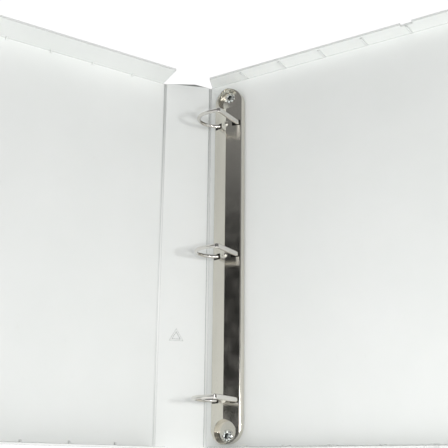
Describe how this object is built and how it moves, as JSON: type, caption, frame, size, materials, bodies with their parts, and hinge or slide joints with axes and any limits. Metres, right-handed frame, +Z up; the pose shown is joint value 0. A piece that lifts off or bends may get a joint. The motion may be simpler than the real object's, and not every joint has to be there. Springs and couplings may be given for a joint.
{
  "type": "ring binder",
  "caption": "Case-type ring binder with walled covers on living hinges and a lever-free D-ring metal for punched letter sheets.",
  "frame": {"origin": "centre of the binder's outline on the surface it stands on, standing open in a V", "axes": "+Z up along the spine, +X along the back cover from its hinge to its fore edge, +Y out of the back cover's outside face; the pages side faces -Y"},
  "size_m": [0.3936, 0.2744, 0.2928],
  "materials": {
    "polypropylene": "satin moulded white",
    "nickel_plate": "bright nickel plate",
    "nickel_wire": "bright nickel plate",
    "blade_steel": "plain plated steel",
    "rivet_steel": "zinc plated"
  },
  "bodies": {
    "back_cover": {"back_cover": "polypropylene", "ring_plate": "nickel_plate", "mounting_rivets": "rivet_steel", "spacer_collars": "rivet_steel", "guide_rivets": "nickel_plate"},
    "spine": {"spine": "polypropylene", "front_hinge_web": "polypropylene", "back_hinge_web": "polypropylene"},
    "front_cover": {"front_cover": "polypropylene"},
    "spine_side_rings": {"spine_side_blade": "blade_steel", "curved_ring_top": "nickel_wire", "curved_ring_middle": "nickel_wire", "curved_ring_bottom": "nickel_wire"},
    "page_side_rings": {"page_side_blade": "blade_steel", "straight_post_top": "nickel_wire", "straight_post_middle": "nickel_wire", "straight_post_bottom": "nickel_wire"}
  },
  "joints": [
    {"name": "back_hinge", "type": "hinge", "parent": "back_cover", "child": "spine", "pos_m": [-0.06155, 0.13596, 0.1464], "axis": [0, 0, 1], "range_deg": [-134.33, 45.67]},
    {"name": "front_hinge", "type": "hinge", "parent": "spine", "child": "front_cover", "pos_m": [-0.08938, 0.10877, 0.1464], "axis": [0, 0, 1], "range_deg": [-111.27, 68.73]},
    {"name": "page_side_ring_pivot", "type": "hinge", "parent": "back_cover", "child": "page_side_rings", "pos_m": [-0.02985, 0.13211, 0.14285], "axis": [0, 0, 1], "range_deg": [0, 9]},
    {"name": "spine_side_ring_pivot", "type": "hinge", "parent": "back_cover", "child": "spine_side_rings", "pos_m": [-0.05225, 0.13211, 0.14285], "axis": [0, 0, 1], "range_deg": [-9, 0]}
  ],
  "couplings": [
    {"joint": "spine_side_ring_pivot", "follows": "page_side_ring_pivot", "ratio": -1}
  ]
}
